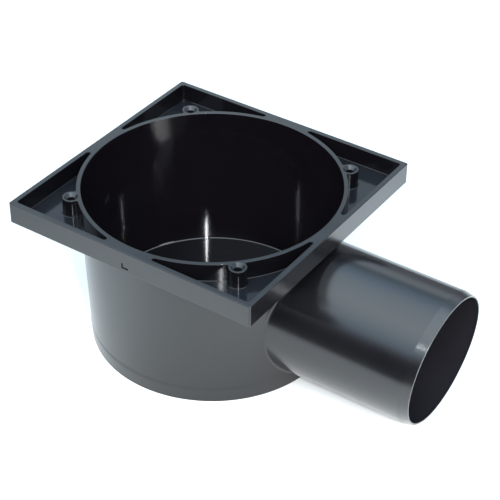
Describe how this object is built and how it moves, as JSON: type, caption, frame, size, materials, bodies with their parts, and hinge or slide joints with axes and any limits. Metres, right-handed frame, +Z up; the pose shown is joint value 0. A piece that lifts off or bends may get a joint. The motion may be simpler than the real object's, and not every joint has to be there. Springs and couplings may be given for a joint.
{
  "type": "shower drain body",
  "caption": "Square-framed shower drain body: a round tapered cup with screw bosses in the frame's corner pockets and a horizontal side outlet spigot.",
  "frame": {"origin": "centre of the frame's top face, on the cup's axis and on the circle of the grate's screw holes", "axes": "+Z up out of the cup along its axis, +X along the outlet spigot, away from the cup"},
  "size_m": [0.2234, 0.152, 0.0944],
  "materials": {
    "black_plastic": "black moulded plastic, satin outside and glossy inside the cup"
  },
  "bodies": {
    "root": {"drain_body": "black_plastic"}
  },
  "joints": []
}
